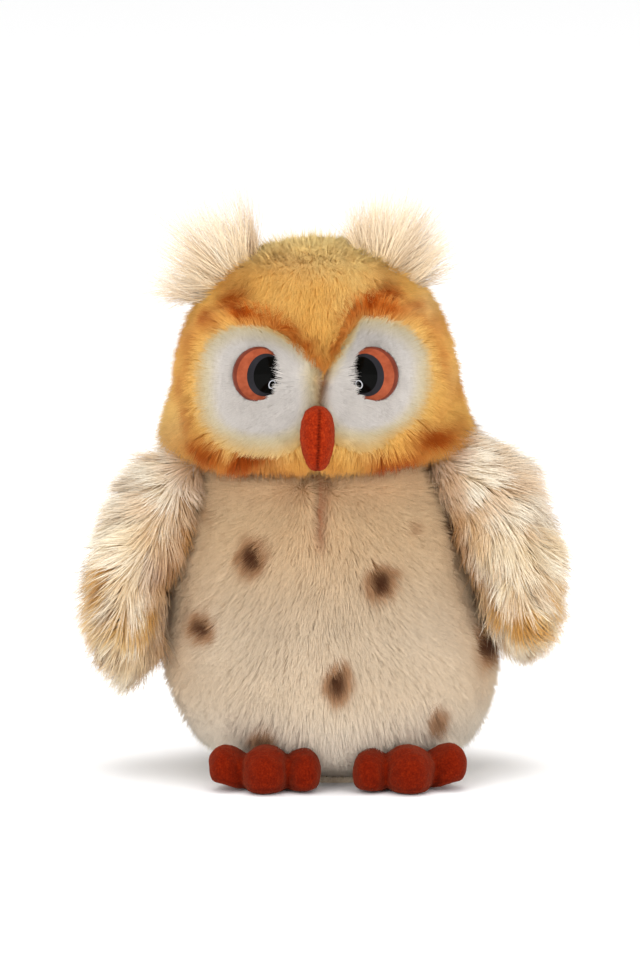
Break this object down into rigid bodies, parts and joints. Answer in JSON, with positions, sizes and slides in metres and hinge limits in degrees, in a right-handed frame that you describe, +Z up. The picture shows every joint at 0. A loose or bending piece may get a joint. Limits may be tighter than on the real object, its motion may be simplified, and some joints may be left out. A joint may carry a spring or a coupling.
{
  "type": "interactive plush owl",
  "caption": "Sitting plush owl with shaggy wings and ear tufts, whose head turns by a motor and gears in a screwed inner core, with press switches and a battery box.",
  "frame": {"origin": "on the ground, under the middle of the owl's overall box", "axes": "+Z up through the head, -Y the way the owl faces, +X the owl's own left"},
  "size_m": [0.1728, 0.1295, 0.2184],
  "materials": {
    "belly_plush": "short beige plush with brown spots",
    "head_plush": "short ginger plush",
    "face_plush": "very short white plush",
    "wing_pile": "long shaggy cream pile with golden streaks",
    "tuft_pile": "long fine cream pile",
    "rust_felt": "rust felt",
    "stuffing": "white polyester fibre",
    "eye_plastic": "copper iris and black pupil under clear gloss",
    "pale_plastic": "moulded",
    "dark_plastic": "moulded",
    "steel": "plated",
    "gear_plastic": "natural acetal",
    "board": "green solder mask",
    "cell_jacket": "satin jacket",
    "button_plastic": "moulded"
  },
  "bodies": {
    "body": {"base_panel": "belly_plush", "battery_box": "pale_plastic", "battery_cell_1": "cell_jacket", "battery_cell_2": "cell_jacket", "battery_cell_3": "cell_jacket", "contact_spring_1": "steel", "contact_spring_2": "steel", "contact_spring_3": "steel", "power_switch_housing": "dark_plastic", "speaker": "dark_plastic", "circuit_board": "board", "core_front": "pale_plastic", "core_rear": "pale_plastic", "core_screw_1": "steel", "core_screw_2": "steel", "core_screw_3": "steel", "core_screw_4": "steel", "motor": "steel", "gear_plate": "pale_plastic", "idler_pin": "steel", "neck_bush": "dark_plastic", "belly_switch_housing": "dark_plastic", "belly_panel": "belly_plush", "back_panel": "belly_plush", "body_stuffing": "stuffing", "foot_right": "rust_felt", "foot_right_sole": "rust_felt", "foot_left": "rust_felt", "foot_left_sole": "rust_felt", "tail": "wing_pile"},
    "head": {"head_skin": "head_plush", "head_stuffing": "stuffing", "head_frame": "pale_plastic", "head_frame_screw": "steel", "neck_shaft": "steel", "neck_gear": "gear_plastic", "pat_switch_housing": "dark_plastic", "eye_left": "eye_plastic", "eye_right": "eye_plastic", "eye_washer_left": "pale_plastic", "eye_washer_right": "pale_plastic", "beak": "rust_felt", "face_disc_left": "face_plush", "face_disc_right": "face_plush", "ear_tuft_left": "tuft_pile", "ear_tuft_right": "tuft_pile"},
    "wing_left": {"wing_left": "wing_pile", "wing_left_lining": "belly_plush"},
    "wing_right": {"wing_right": "wing_pile", "wing_right_lining": "belly_plush"},
    "idler": {"idler_gear": "gear_plastic"},
    "motor_rotor": {"motor_shaft": "steel", "motor_pinion": "gear_plastic"},
    "battery_door": {"battery_door": "pale_plastic", "battery_door_screw": "steel"},
    "power_switch": {"power_switch_slider": "pale_plastic"},
    "pat_button": {"pat_button": "button_plastic"},
    "belly_button": {"belly_button": "button_plastic"}
  },
  "joints": [
    {"name": "head_turn", "type": "hinge", "parent": "body", "child": "head", "pos_m": [-0.002, 0, 0.1], "axis": [0, 0, 1], "range_deg": [-40, 40]},
    {"name": "idler_spin", "type": "hinge", "parent": "body", "child": "idler", "pos_m": [0.0125, 0, 0.08], "axis": [0, 0, 1], "range_deg": [-81, 81]},
    {"name": "motor_spin", "type": "hinge", "parent": "body", "child": "motor_rotor", "pos_m": [0.00565, 0.01187, 0.08], "axis": [0, 0, 1], "range_deg": [-193, 193]},
    {"name": "wing_left_lift", "type": "hinge", "parent": "body", "child": "wing_left", "pos_m": [0.044, 0, 0.1025], "axis": [0, -1, 0], "range_deg": [0, 30]},
    {"name": "wing_right_lift", "type": "hinge", "parent": "body", "child": "wing_right", "pos_m": [-0.046, 0, 0.1025], "axis": [0, 1, 0], "range_deg": [0, 30]},
    {"name": "battery_door_slide", "type": "slide", "parent": "body", "child": "battery_door", "axis": [0, 0, -1], "range_m": [0, 0.015]},
    {"name": "power_switch_slide", "type": "slide", "parent": "body", "child": "power_switch", "axis": [1, 0, 0], "range_m": [0, 0.004]},
    {"name": "pat_button_press", "type": "slide", "parent": "head", "child": "pat_button", "axis": [0, 0, -1], "range_m": [0, 0.002], "stiffness_N_per_m": 300, "springref_m": -0.001},
    {"name": "belly_button_press", "type": "slide", "parent": "body", "child": "belly_button", "axis": [0, 1, 0], "range_m": [0, 0.002], "stiffness_N_per_m": 300, "springref_m": -0.001}
  ],
  "couplings": [
    {"joint": "idler_spin", "follows": "head_turn", "ratio": -2},
    {"joint": "motor_spin", "follows": "head_turn", "ratio": 4.8}
  ]
}
